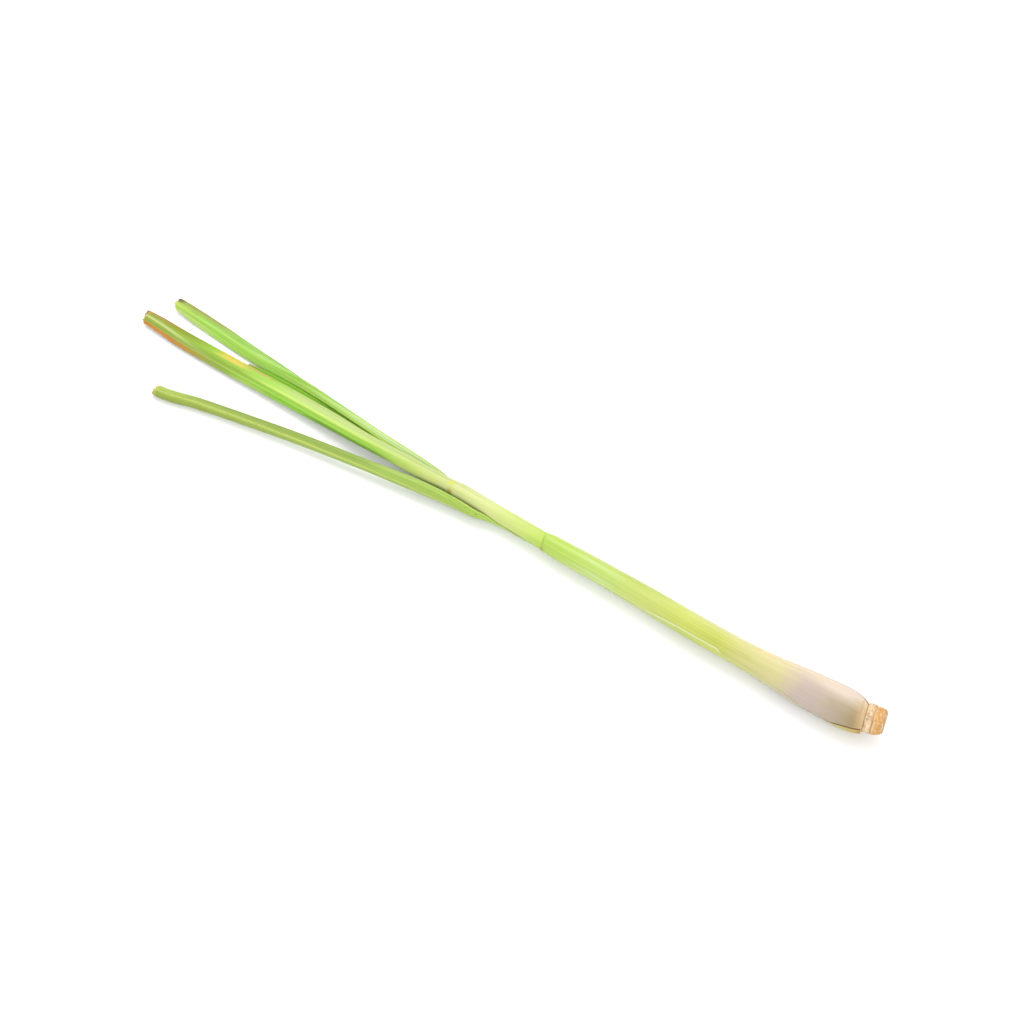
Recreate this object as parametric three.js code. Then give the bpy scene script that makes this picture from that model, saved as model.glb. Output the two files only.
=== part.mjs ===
// A stalk of lemongrass, trimmed for cooking, lying on a table.
//
// Millimetres, +Z up. The stalk lies along X: the swollen white foot with its woody root stub is at
// +X, the cut leaf tips at -X. The stalk is what a grass shoot is: leaves whose lower parts are
// sheaths rolled one round another, each opening higher up into a blade. From the outside in:
// a dry remnant of an old sheath, the lower leaf, the middle leaf, the top leaf and the heart leaf.
import * as THREE from 'three';

// ---------------------------------------------------------------- driving dimensions
const CLEARANCE = 0.3; // between neighbouring leaves

const STUB_JOINT_X = 199.3; // where the foot of the outermost leaf meets the woody stub
const STUB_END_X = 208.2;
const FOOT_REST_X = 183; // middle of the flat spot under the foot

const LOWER_COLLAR_X = 22; // where each leaf's sheath ends and its blade begins
const MIDDLE_COLLAR_X = -35;
const TOP_COLLAR_X = 0; // hidden inside the middle leaf's sheath

const LOWER_TIP_X = -200;
const MIDDLE_TIP_X = -236.5;
const TOP_TIP_X = -228;
const HEART_TIP_X = -171;
const REMNANT_TIP_X = 62;
const REMNANT_END_X = 198.9;

const LOWER_FREE_X = 0; // the lower leaf's blade hugs the stalk's underside as far as here
const MIDDLE_BACK = 103; // direction in which a sheath's back faces, degrees from +Y towards +Z
const TOP_BACK = 27;

const WING_COLUMNS = 8; // facets from a leaf's midrib to its margin
const REMNANT_COLUMNS = 7;
const HEART_SIDES = 10;
const STUB_SIDES = 20;
const FOLD_ROUND = 1.1; // half length of the rounded crease along a midrib
const KEEL_WIDTH = 0.9; // half width of a midrib's ridge

const STUB_TURN = 0.227; // radians by which the stub, and its joint with the foot, lean
const STUB_RISE = 0.48; // direction of that lean, radians from +Y towards +Z

// Stations shared by all the sheaths, so that the clearance between them holds in between.
const SHEATH_X = [
  STUB_JOINT_X, 197.5, 195, 192, 187, 181, 174, 166, 157, 148, 138, 124, 108, 90, 70, 50, 34, 27,
  LOWER_COLLAR_X, 18, 10, TOP_COLLAR_X, -6, -12, -15, -18, -21, -24, -27, -30, -32.5, MIDDLE_COLLAR_X,
];

// ---------------------------------------------------------------- curves
const radians = THREE.MathUtils.degToRad;
const blend = THREE.MathUtils.smoothstep;

// A smooth curve through [x, value] keys in rising x. It never swings past a key, and is level
// beyond the first and the last.
function track(keys) {
  const xs = keys.map(([x]) => x);
  const values = keys.map(([, value]) => value);
  const rises = values.slice(1).map((value, i) => (value - values[i]) / (xs[i + 1] - xs[i]));
  const slopes = values.map((_, i) => {
    const before = rises[i - 1] ?? 0;
    const after = rises[i] ?? 0;
    return before * after > 0 ? (2 * before * after) / (before + after) : 0;
  });
  return (x) => {
    if (x <= xs[0]) {
      return values[0];
    }
    if (x >= xs.at(-1)) {
      return values.at(-1);
    }
    const i = xs.findIndex((end) => end > x) - 1;
    const span = xs[i + 1] - xs[i];
    const t = (x - xs[i]) / span;
    const hump = t * t * (3 - 2 * t);
    const leaving = t * (1 - t) * (1 - t) * span;
    const arriving = t * t * (t - 1) * span;
    const straight = values[i] + hump * (values[i + 1] - values[i]);
    return straight + leaving * slopes[i] + arriving * slopes[i + 1];
  };
}

// ---------------------------------------------------------------- the rolled sheaths
// The stalk's own axis, which bends a little from side to side and sinks towards the leaves.
const axisY = track([
  [-35, 1.7], [0, 0.6], [30, -0.1], [60, -0.3], [85, -0.6], [115, -1.4], [150, -1.1], [175, -0.4],
  [192, 0.4],
]);
const axisZ = (x) => 10.5 - (FOOT_REST_X - x) * 0.0183;

// Outer radius of the stalk: the lower leaf's sheath, swollen into the bulb-like foot.
const lowerOuter = track([
  [22, 5.35], [60, 5.6], [110, 6.1], [130, 6.3], [140, 6.65], [148, 7.15], [155, 7.75], [162, 8.5],
  [169, 9.15], [176, 9.55], [183, 9.85], [189, 9.75], [194, 9.1], [197.5, 8.0], [STUB_JOINT_X, 7.0],
]);
// Each sheath is thick and juicy in the foot and thins out up the stalk.
const lowerWall = track([[22, 0.6], [60, 0.75], [110, 0.9], [150, 1.5], [185, 2.4], [STUB_JOINT_X, 2.2]]);
const middleBelow = track([[-35, 4.05], [0, 4.2], [22, 4.3]]);
const middleWall = track([[-35, 0.6], [22, 0.7], [60, 0.8], [110, 0.9], [150, 1.3], [185, 2.0]]);
const topWall = track([[-35, 0.6], [22, 0.6], [60, 0.7], [110, 0.8], [150, 1.1], [185, 1.6]]);

const lowerInner = (x) => lowerOuter(x) - lowerWall(x);
// The lower leaf's mouth stands a little off the leaf inside it.
const mouthGap = (x) => CLEARANCE + 0.15 * (1 - blend(x, LOWER_COLLAR_X, 50));
const middleOuter = (x) => (x > LOWER_COLLAR_X ? lowerInner(x) - mouthGap(x) : middleBelow(x));
const middleInner = (x) => middleOuter(x) - middleWall(x);
const topOuter = (x) => middleInner(x) - CLEARANCE;
const topInner = (x) => topOuter(x) - topWall(x);
const heartOuter = (x) => topInner(x) - CLEARANCE;

function stationsBetween(high, low) {
  return SHEATH_X.filter((x) => x <= high && x >= low);
}

// ---------------------------------------------------------------- leaf sections
// A section is the leaf's inner face seen along X. It starts at the midrib's vertex, and each wing
// leaves it at right angles to the back's direction, turned by half the fold, then bends with the
// curl (1 / radius). A full sheath is curl times half width near 180 degrees.
function wing(section, side, halfWidth, columns) {
  const steps = 4;
  const points = [];
  let y = section.y;
  let z = section.z;
  let travelled = 0;
  for (let column = 0; column <= columns; column += 1) {
    const bend = section.fold * Math.min(1, travelled / FOLD_ROUND) + section.curl * travelled;
    const normal = section.back + side * bend;
    points.push({ y, z, travelled, normal, share: (side * column) / columns });
    const step = halfWidth / columns / steps;
    for (let i = 0; i < steps; i += 1) {
      const middle = travelled + step / 2;
      const turn = section.fold * Math.min(1, middle / FOLD_ROUND) + section.curl * middle;
      const heading = section.back + side * (Math.PI / 2 + turn);
      y += step * Math.cos(heading);
      z += step * Math.sin(heading);
      travelled += step;
    }
  }
  return points;
}

// Both faces of a leaf at one station, from the left margin to the right one. The lap lifts the
// right margin over the left one, and the keel is the ridge along the midrib's back.
function facesAt(section, columns) {
  const left = wing(section, -1, section.left, columns).slice(1).reverse();
  const right = wing(section, 1, section.right, columns);
  return [...left, ...right].map((point) => {
    const outOfLap = section.lap * blend(point.share, 0.62, 0.8);
    const edge = blend(Math.abs(point.share), 0.5, 0.8);
    const keel = section.keel * Math.exp(-((point.travelled / KEEL_WIDTH) ** 2));
    const thick = section.wall + (section.edge - section.wall) * edge + keel;
    const lean = section.lean * Math.cos(point.normal - STUB_RISE);
    const x = section.x - lean / section.curl + (section.cut ? section.cut(point.share) : 0);
    const dy = Math.cos(point.normal);
    const dz = Math.sin(point.normal);
    const inner = [x, point.y + outOfLap * dy, point.z + outOfLap * dz];
    const outer = [x - lean * thick, inner[1] + thick * dy, inner[2] + thick * dz];
    return { inner, outer };
  });
}

// Nothing reaches below the table: a foot or a margin that presses on it is flat there.
function onTable([x, y, z]) {
  return [x, y, Math.max(z, 0)];
}

function solid(points, triangles) {
  const volume = triangles.reduce((sum, [a, b, c]) => {
    const [p, q, r] = [points[a], points[b], points[c]].map((point) => new THREE.Vector3(...point));
    return sum + p.dot(q.cross(r));
  }, 0);
  const facing = volume > 0 ? triangles : triangles.map(([a, b, c]) => [a, c, b]);
  const geometry = new THREE.BufferGeometry();
  geometry.setAttribute('position', new THREE.Float32BufferAttribute(points.flat(), 3));
  geometry.setIndex(facing.flat());
  geometry.computeVertexNormals();
  return geometry;
}

// Joins the sections of one leaf into a closed body.
function leafSolid(sections, columns) {
  const rows = sections.map((section) => facesAt(section, columns));
  const across = rows[0].length;
  const points = rows.flatMap((row) => [...row.map((p) => p.inner), ...row.map((p) => p.outer)]).map(onTable);
  const inner = (row, column) => row * 2 * across + column;
  const outer = (row, column) => inner(row, column) + across;
  const triangles = [];
  const quad = (a, b, c, d) => triangles.push([a, b, c], [a, c, d]);
  for (let row = 0; row + 1 < rows.length; row += 1) {
    for (let column = 0; column + 1 < across; column += 1) {
      const next = column + 1;
      quad(outer(row, column), outer(row + 1, column), outer(row + 1, next), outer(row, next));
      quad(inner(row, column), inner(row, next), inner(row + 1, next), inner(row + 1, column));
    }
    quad(inner(row, 0), inner(row + 1, 0), outer(row + 1, 0), outer(row, 0));
    const last = across - 1;
    quad(inner(row, last), outer(row, last), outer(row + 1, last), inner(row + 1, last));
  }
  const end = rows.length - 1;
  for (let column = 0; column + 1 < across; column += 1) {
    quad(inner(0, column), outer(0, column), outer(0, column + 1), inner(0, column + 1));
    quad(inner(end, column), inner(end, column + 1), outer(end, column + 1), outer(end, column));
  }
  return solid(points, triangles);
}

// Joins rings of points into a closed body, with a fan over each end.
function loftSolid(rings, firstCentre, lastCentre) {
  const sides = rings[0].length;
  const points = [...rings.flat().map(onTable), firstCentre, lastCentre];
  const first = points.length - 2;
  const last = points.length - 1;
  const triangles = [];
  for (let side = 0; side < sides; side += 1) {
    const next = (side + 1) % sides;
    for (let ring = 0; ring + 1 < rings.length; ring += 1) {
      const a = ring * sides + side;
      const b = ring * sides + next;
      triangles.push([a, b, b + sides], [a, b + sides, a + sides]);
    }
    const base = (rings.length - 1) * sides;
    triangles.push([first, next, side], [last, base + side, base + next]);
  }
  return solid(points, triangles);
}

function named(name, geometry, colour, roughness) {
  const material = new THREE.MeshStandardMaterial({ color: colour, roughness, metalness: 0 });
  const mesh = new THREE.Mesh(geometry, material);
  mesh.name = name;
  return mesh;
}

// A sheath's section: rolled round the stalk's axis, from one margin round to the other.
function sheathSection(x, backDegrees, innerRadius, wall, halfWrapDegrees) {
  const back = radians(backDegrees);
  return {
    x,
    back,
    y: axisY(x) + innerRadius * Math.cos(back),
    z: axisZ(x) + innerRadius * Math.sin(back),
    curl: 1 / innerRadius,
    fold: 0,
    left: innerRadius * radians(halfWrapDegrees),
    right: innerRadius * radians(halfWrapDegrees),
    wall,
    edge: wall,
    keel: 0,
    lap: 0,
    lean: 0,
  };
}

// The foot's end leans as the stub does, and the lean fades into the foot.
function footLean(x) {
  return Math.sin(STUB_TURN) * blend(x, 187, STUB_JOINT_X);
}

// ---------------------------------------------------------------- lower leaf
// Its sheath is the stalk's skin, its margins lapped on the far side. Its blade hugs the stalk's
// underside, comes out on the near side, rolls into a half tube and lies down on the table.
const lowerBlade = {
  x: [
    LOWER_TIP_X, -175, -150, -115, -84, -56, -43, -31, -24, -17, -12, -8, -4, LOWER_FREE_X, 5, 10, 14,
    17, 18.5, 20, 20.7, 21.4,
  ],
  mouth: [22.7, 23.4, 24, 25, 26, 27, 28, 29.5, 31, 34],
  // middle of the roll, where the blade has parted from the stalk
  y: track([
    [LOWER_TIP_X, -32.3], [-175, -26.9], [-150, -22], [-115, -16], [-84, -11.7], [-56, -7.9],
    [-31, -4.4], [-17, -2.6], [-8, 0.1], [LOWER_FREE_X, 0.6],
  ]),
  z: track([
    [LOWER_TIP_X, 2.5], [-150, 3], [-115, 3.9], [-84, 4.9], [-56, 5.6], [-31, 6.2], [-17, 6.2],
    [-8, 6.6], [LOWER_FREE_X, 7.15],
  ]),
  radius: track([
    [LOWER_TIP_X, 2.65], [-150, 2.4], [-84, 2.4], [-56, 2.8], [-31, 3.3], [-17, 4], [-8, 4.45],
    [LOWER_FREE_X, 4.65], [22, 4.75],
  ]),
  // directions of the margins, seen from the middle of the roll, degrees from +Y towards +Z
  near: track([
    [LOWER_TIP_X, 6], [-150, 20], [-115, 28], [-84, 34], [-56, 42], [-43, 64], [-31, 92], [-24, 106],
    [-17, 124], [-8, 160], [LOWER_FREE_X, 189], [8, 194], [17, 178], [20, 158], [22, 125], [24, 80], [26, 45], [28, 24],
    [31, 8], [34, -2], [60, -12],
  ]),
  far: track([
    [LOWER_TIP_X, 230], [-150, 240], [-115, 255], [-84, 270], [-56, 280], [-31, 280], [-17, 292],
    [-8, 298], [LOWER_FREE_X, 302], [10, 306], [17, 311], [20, 316], [22, 322], [24, 330], [26, 340],
    [28, 352], [31, 368], [34, 378], [60, 380],
  ]),
};

function lowerSection(x) {
  const back = (lowerBlade.far(x) + lowerBlade.near(x)) / 2;
  const wrap = (lowerBlade.far(x) - lowerBlade.near(x)) / 2;
  if (x >= LOWER_COLLAR_X) {
    const wall = lowerWall(x);
    const section = sheathSection(x, back, lowerInner(x), wall, wrap);
    section.edge = Math.max(0.5, (wall - CLEARANCE) / 2);
    section.lap = (section.edge + CLEARANCE) * blend(x, 23, 31);
    section.lean = footLean(x);
    return section;
  }
  const section = sheathSection(x, back, lowerBlade.radius(x), 0.7, wrap);
  if (x < LOWER_FREE_X) {
    section.y += lowerBlade.y(x) - axisY(x);
    section.z += lowerBlade.z(x) - axisZ(x);
  }
  section.edge = 0.6;
  section.keel = 0.25 * blend(-x, 0, 60);
  return section;
}

function lowerLeaf() {
  const blade = [...lowerBlade.x].reverse();
  const mouth = [...lowerBlade.mouth].reverse();
  const sheath = [...stationsBetween(STUB_JOINT_X, 35), ...mouth, LOWER_COLLAR_X];
  const sections = [...sheath, ...blade].map(lowerSection);
  sections.at(-1).cut = (share) => -1.2 * share;
  return named('leaf_lower', leafSolid(sections, WING_COLUMNS), 0xc9dc8c, 0.55);
}

// ---------------------------------------------------------------- middle leaf
// Its blade runs on in line with the stalk, its back and midrib upwards.
const middleBlade = {
  x: [MIDDLE_TIP_X, -222, -205, -185, -165, -147, -130, -110, -90, -75, -62, -52, -44, -39],
  y: track([
    [MIDDLE_TIP_X, 2], [-205, 0.9], [-180, 0.8], [-150, 0.7], [-130, 0.5], [-110, 0.2], [-90, -0.1],
    [-60, 0.3], [-35, 0.93],
  ]),
  z: track([[MIDDLE_TIP_X, 3.8], [-180, 4.7], [-130, 6.3], [-90, 7.7], [-60, 8.7], [-35, 9.86]]),
  curl: track([
    [MIDDLE_TIP_X, 0.09], [-150, 0.085], [-110, 0.1], [-90, 0.13], [-62, 0.19], [-44, 0.255], [-35, 0.29],
  ]),
  fold: track([[MIDDLE_TIP_X, 15], [-90, 12], [-40, 0]]),
  farHalf: track([
    [MIDDLE_TIP_X, 5], [-225, 5.9], [-205, 6.3], [-180, 6.2], [-130, 6.1], [-108, 5.7], [-90, 4.8],
    [-60, 3.9], [-52, 3.7], [-44, 3.7], [-39, 3.9],
  ]),
  nearHalf: track([
    [MIDDLE_TIP_X, 4], [-205, 5.1], [-180, 5.3], [-130, 4.9], [-105, 4.4], [-80, 4.2], [-42, 4.8],
  ]),
  farWrap: track([[-35, 73], [-30, 103], [-24, 140], [-18, 172]]),
  nearWrap: track([[-35, 96], [-30, 120], [-24, 148], [-18, 172]]),
  back: track([[MIDDLE_TIP_X, 98], [-150, 103], [-90, 105], [-35, MIDDLE_BACK]]),
};

function middleSection(x) {
  if (x >= MIDDLE_COLLAR_X) {
    const radius = middleInner(x);
    const section = sheathSection(x, MIDDLE_BACK, radius, middleWall(x), middleBlade.nearWrap(x));
    section.left = radius * radians(middleBlade.farWrap(x));
    return section;
  }
  return {
    x,
    back: radians(middleBlade.back(x)),
    y: middleBlade.y(x),
    z: middleBlade.z(x),
    curl: middleBlade.curl(x),
    fold: radians(middleBlade.fold(x)),
    left: middleBlade.farHalf(x),
    right: middleBlade.nearHalf(x),
    wall: 0.7,
    edge: 0.6,
    keel: 0.4 * blend(-x, 40, 80),
    lap: 0,
    lean: 0,
  };
}

function middleLeaf() {
  const blade = [...middleBlade.x].reverse();
  const sections = [...stationsBetween(192, MIDDLE_COLLAR_X), ...blade].map(middleSection);
  sections.at(-1).cut = (share) => 1.5 * share;
  return named('leaf_middle', leafSolid(sections, WING_COLUMNS), 0xb5dc6e, 0.55);
}

// ---------------------------------------------------------------- top leaf
// It comes out of the middle leaf folded shut along its midrib, slides out past that leaf's margin,
// and opens and turns its back up towards its tip.
const topBlade = {
  x: [TOP_TIP_X, -210, -195, -180, -164, -148, -132, -115, -100, -84, -68, -55, -44, -38],
  y: track([
    [TOP_TIP_X, 17.5], [-215, 17], [-195, 15.6], [-180, 14.4], [-164, 13.7], [-148, 13.6], [-132, 13.1],
    [-115, 11.6], [-84, 8.6], [-55, 6.5], [-44, 5.3], [-35, 3.5], [-24, 3],
  ]),
  z: track([
    [TOP_TIP_X, 3.7], [-195, 3.8], [-164, 3.95], [-148, 4.2], [-132, 4.6], [-115, 5.2], [-84, 6.1],
    [-55, 6.4], [-44, 6.5], [-35, 7], [-24, 7.5],
  ]),
  curl: track([[TOP_TIP_X, 0.05], [-100, 0.03], [-36, 0.05], [TOP_COLLAR_X, 0.38]]),
  fold: track([
    [TOP_TIP_X, 20], [-195, 24], [-164, 33], [-148, 44], [-132, 56], [-115, 66], [-84, 75], [-36, 78],
    [TOP_COLLAR_X, 0],
  ]),
  half: track([
    [TOP_TIP_X, 4.7], [-185, 4.8], [-164, 4.5], [-148, 3.9], [-132, 3.6], [-115, 3.3], [-92, 3.4],
    [-68, 4.1], [-50, 4.5], [-35, 4.2], [-12, 4.4],
  ]),
  // how much narrower the near wing gets towards the tip
  taper: track([[TOP_TIP_X, 1.8], [-217, 0.8], [-205, 0]]),
  wrap: track([[TOP_COLLAR_X, 106], [10, 118], [18, 134], [22, 148], [27, 160], [34, 172]]),
  back: track([
    [TOP_TIP_X, 112], [-195, 112], [-180, 110], [-164, 105], [-148, 94], [-132, 76], [-115, 58],
    [-100, 45], [-84, 36], [-55, 30], [-35, TOP_BACK],
  ]),
};

function topSection(x) {
  const rolled = sheathSection(x, TOP_BACK, topInner(x), topWall(x), topBlade.wrap(x));
  if (x > TOP_COLLAR_X) {
    return rolled;
  }
  const shut = blend(-x, -TOP_COLLAR_X, -MIDDLE_COLLAR_X);
  const toward = (from, to) => from + (to - from) * shut;
  return {
    x,
    back: radians(topBlade.back(x)),
    y: toward(rolled.y, topBlade.y(x)),
    z: toward(rolled.z, topBlade.z(x)),
    curl: topBlade.curl(x),
    fold: radians(topBlade.fold(x)),
    left: toward(rolled.left, topBlade.half(x)),
    right: toward(rolled.right, topBlade.half(x) - topBlade.taper(x)),
    wall: 0.6,
    edge: 0.6,
    keel: 0.4 * shut,
    lap: 0,
    lean: 0,
  };
}

function topLeaf() {
  const blade = [...topBlade.x].reverse();
  const sections = [...stationsBetween(192, MIDDLE_COLLAR_X), ...blade].map(topSection);
  sections.at(-1).cut = (share) => 1.1 * share + 1.2 * share * share;
  return named('leaf_top', leafSolid(sections, WING_COLUMNS), 0xa3d95f, 0.55);
}

// ---------------------------------------------------------------- heart leaf
// The youngest leaf, still rolled, flattened where the top leaf folds shut round it.
const heartBlade = {
  x: [HEART_TIP_X, -165, -156, -148, -132, -115, -100, -84, -68, -55, -44, -38],
  y: track([
    [HEART_TIP_X, 8], [-156, 8.4], [-148, 8.4], [-132, 8.1], [-115, 7.8], [-100, 6.9], [-84, 5.9],
    [-55, 3.8], [-35, 1.9], [-12, 1],
  ]),
  z: track([
    [HEART_TIP_X, 0.9], [-156, 1.1], [-148, 1.3], [-132, 1.75], [-115, 2.3], [-100, 3.15], [-84, 4.4],
    [-55, 5.2], [-35, 6], [-12, 6.8],
  ]),
  wide: track([[HEART_TIP_X, 1.2], [-165, 1.6], [-132, 1.75], [-100, 1.8], [-84, 2], [-35, 1.6]]),
  thick: track([[HEART_TIP_X, 0.32], [-148, 0.4], [-35, 0.45]]),
  tilt: track([[HEART_TIP_X, 8], [-148, 10], [-132, 14], [-115, 19], [-100, 24], [-84, TOP_BACK]]),
};

function heartRing(x) {
  const flat = blend(-x, -10, 12);
  const round = heartOuter(Math.max(x, TOP_COLLAR_X));
  const wide = round + (heartBlade.wide(x) - round) * flat;
  const thick = round + (heartBlade.thick(x) - round) * flat;
  const y = axisY(x) + (heartBlade.y(x) - axisY(x)) * flat;
  const z = axisZ(x) + (heartBlade.z(x) - axisZ(x)) * flat;
  const tilt = radians(heartBlade.tilt(x));
  return Array.from({ length: HEART_SIDES }, (_, side) => {
    const angle = (side / HEART_SIDES) * 2 * Math.PI;
    const along = wide * Math.cos(angle);
    const off = thick * Math.sin(angle);
    const sideways = along * Math.cos(tilt) - off * Math.sin(tilt);
    const upwards = along * Math.sin(tilt) + off * Math.cos(tilt);
    return [x, y + sideways, z + upwards];
  });
}

function centreOf(ring) {
  return [0, 1, 2].map((axis) => ring.reduce((sum, point) => sum + point[axis], 0) / ring.length);
}

function heartLeaf() {
  const blade = [...heartBlade.x].reverse();
  const rings = [...stationsBetween(192, MIDDLE_COLLAR_X), ...blade].map(heartRing);
  const geometry = loftSolid(rings, centreOf(rings[0]), centreOf(rings.at(-1)));
  return named('leaf_heart', geometry, 0x8ecb46, 0.55);
}

// ---------------------------------------------------------------- remnant of an old sheath
// What is left of an older leaf hugs the underside of the foot and stalk. One margin shows along
// the near side, and the far one passes below the lower leaf's lap.
const remnantNear = track([
  [REMNANT_TIP_X, 212], [72, 200], [84, 178], [90, 166], [108, 154], [120, 153], [128, 166],
  [138, 172], [156, 175], [166, 183], [173, 204], [180, 211], [184.5, 205], [188, 191], [192, 179],
  [REMNANT_END_X, 172],
]);
const remnantFar = track([
  [REMNANT_TIP_X, 236], [72, 262], [84, 290], [90, 304], [112, 317], [140, 322], [156, 345],
  [REMNANT_END_X, 360],
]);
const REMNANT_WALL = 0.7;

function remnantSection(x) {
  const near = remnantNear(x);
  const far = remnantFar(x);
  const radius = lowerOuter(x) + CLEARANCE;
  const half = (far - near) / 2;
  const section = sheathSection(x, near + half, radius, REMNANT_WALL, half);
  section.lean = footLean(x);
  return section;
}

function oldSheath() {
  const foot = [REMNANT_END_X, 197.5, 195, 192, 189.5, 187, 184, 181, 177, 174, 170, 166, 162];
  const sections = [...foot, ...stationsBetween(157, 90), 84, 78, 72, 67, REMNANT_TIP_X].map(remnantSection);
  return named('old_sheath', leafSolid(sections, REMNANT_COLUMNS), 0xd8d9a4, 0.6);
}

// ---------------------------------------------------------------- woody stub
// The cut end of the rootstock: a plug that the leaves stand on, inside the foot, then two rings.
const STUB_PROFILE = [
  [193, 5.9], [195.5, 5.4], [197.5, 4.8], [198.7, 4.3], [199.6, 4.3], [199.65, 6.6], [200.1, 6.85],
  [202.6, 6.75], [203.1, 6.35], [203.6, 6.6], [205.6, 6.3], [207.4, 5.8], [STUB_END_X, 5],
];

function stubRing([x, radius], ring) {
  const outside = ring > 4;
  const reach = Math.max(x - STUB_JOINT_X, 0);
  const drift = reach * Math.tan(STUB_TURN);
  const tilt = STUB_TURN * blend(x, 190, STUB_JOINT_X);
  return Array.from({ length: STUB_SIDES }, (_, side) => {
    const angle = (side / STUB_SIDES) * 2 * Math.PI;
    const lumpy = outside ? 0.18 * Math.sin(3 * angle + x) + 0.1 * Math.sin(7 * angle) : 0;
    const r = radius + lumpy;
    const y = axisY(x) + drift * Math.cos(STUB_RISE) + r * Math.cos(angle);
    const z = axisZ(x) + drift * Math.sin(STUB_RISE) + r * Math.sin(angle);
    return [x - r * Math.cos(angle - STUB_RISE) * Math.sin(tilt), y, z];
  });
}

function rootStub() {
  const rings = STUB_PROFILE.map(stubRing);
  const geometry = loftSolid(rings, centreOf(rings[0]), centreOf(rings.at(-1)));
  return named('root_stub', geometry, 0xd0a468, 0.8);
}

// ---------------------------------------------------------------- the stalk
const stalk = new THREE.Group();
stalk.add(rootStub(), oldSheath(), lowerLeaf(), middleLeaf(), topLeaf(), heartLeaf());

// The origin is on the table, under the middle of the stalk's box.
const box = new THREE.Box3().setFromObject(stalk, true);
stalk.position.set(-(box.min.x + box.max.x) / 2, -(box.min.y + box.max.y) / 2, -box.min.z);
stalk.updateMatrixWorld(true);

export default stalk;
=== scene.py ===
import math

import bpy
import numpy as np
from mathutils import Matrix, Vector, noise


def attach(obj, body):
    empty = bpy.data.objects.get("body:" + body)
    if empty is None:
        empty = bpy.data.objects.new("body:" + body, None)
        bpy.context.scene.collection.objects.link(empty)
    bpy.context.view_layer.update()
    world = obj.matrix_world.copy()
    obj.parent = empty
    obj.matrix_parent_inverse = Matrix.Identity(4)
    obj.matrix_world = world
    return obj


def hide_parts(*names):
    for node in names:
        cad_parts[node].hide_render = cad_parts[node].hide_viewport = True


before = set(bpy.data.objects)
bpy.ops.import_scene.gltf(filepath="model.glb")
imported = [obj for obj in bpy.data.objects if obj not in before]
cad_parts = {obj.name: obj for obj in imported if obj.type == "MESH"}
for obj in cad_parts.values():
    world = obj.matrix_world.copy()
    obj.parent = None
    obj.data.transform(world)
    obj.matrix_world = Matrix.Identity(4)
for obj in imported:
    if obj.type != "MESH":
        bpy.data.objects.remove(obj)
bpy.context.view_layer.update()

MM = 0.001

# The stalk is worked out in its own millimetres, as in the part's source, with its foot's flat spot
# at x = 183. This is how far it is then moved, to have the origin under the middle of its box.
SHIFT = np.array([14.341, 6.682, 0.0])

# -------- camera
AZIMUTH, ELEVATION = math.radians(33.5), math.radians(58)
CAMERA_FAR = 0.853
LENS_MM, SENSOR_MM = 60, 36
CLIP_NEAR, CLIP_FAR = 0.01, 20
LOOK_AT = Vector((14.341, 11.684, 8.0)) * MM


def make_camera():
    data = bpy.data.cameras.new("camera")
    data.lens, data.sensor_width = LENS_MM, SENSOR_MM
    data.clip_start, data.clip_end = CLIP_NEAR, CLIP_FAR
    camera = bpy.data.objects.new("camera", data)
    bpy.context.collection.objects.link(camera)
    level = math.cos(ELEVATION)
    back = Vector((math.sin(AZIMUTH) * level, -math.cos(AZIMUTH) * level, math.sin(ELEVATION)))
    camera.location = LOOK_AT + back * CAMERA_FAR
    camera.rotation_mode = "QUATERNION"
    camera.rotation_quaternion = (-back).to_track_quat("-Z", "Y")
    bpy.context.scene.camera = camera


make_camera()

# -------- dimensions, nearly all as in the part's source
CLEARANCE = 0.3
STUB_JOINT_X, STUB_END_X, FOOT_REST_X = 199.3, 208.2, 183
LOWER_COLLAR_X, MIDDLE_COLLAR_X, TOP_COLLAR_X, LOWER_FREE_X = 22, -35, 0, 0
LOWER_TIP_X, MIDDLE_TIP_X, TOP_TIP_X, HEART_TIP_X = -200, -236.5, -228, -171
REMNANT_TIP_X, REMNANT_END_X = 62, 198.9
MIDDLE_BACK, TOP_BACK = 103, 27
FOLD_ROUND, KEEL_WIDTH = 1.1, 0.9
SHEATH_END_X = 192
STUB_TURN, STUB_RISE = 0.227, 0.48  # radians
AXIS_HIGH, AXIS_SLOPE = 10.5, 0.0183
FOOT_LEAN_X = 187
MOUTH_GAP, MOUTH_DEEP_X = 0.15, 50
LOWER_BLADE, MIDDLE_BLADE, TOP_BLADE = 0.7, 0.7, 0.6
SHEATH_EDGE, BLADE_EDGE = 0.5, 0.6
LOWER_KEEL, KEEL = 0.25, 0.4
# The side on which the middle leaf is fuller than a round sheath, between the two collars.
FULL_SIDE = (-0.887, -0.462)


def track(keys):
    """A smooth curve through [x, value] keys in rising x, which never swings past a key."""
    xs = [k[0] for k in keys]
    vs = [k[1] for k in keys]
    rises = [(vs[i + 1] - vs[i]) / (xs[i + 1] - xs[i]) for i in range(len(xs) - 1)]
    slopes = []
    for i in range(len(xs)):
        before = rises[i - 1] if i > 0 else 0
        after = rises[i] if i < len(rises) else 0
        slopes.append(2 * before * after / (before + after) if before * after > 0 else 0)

    def value(x):
        if x <= xs[0]:
            return vs[0]
        if x >= xs[-1]:
            return vs[-1]
        i = next(n for n, end in enumerate(xs) if end > x) - 1
        span = xs[i + 1] - xs[i]
        t = (x - xs[i]) / span
        hump = t * t * (3 - 2 * t)
        leaving = t * (1 - t) ** 2 * span
        arriving = t * t * (t - 1) * span
        return vs[i] + hump * (vs[i + 1] - vs[i]) + leaving * slopes[i] + arriving * slopes[i + 1]

    return value


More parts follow.
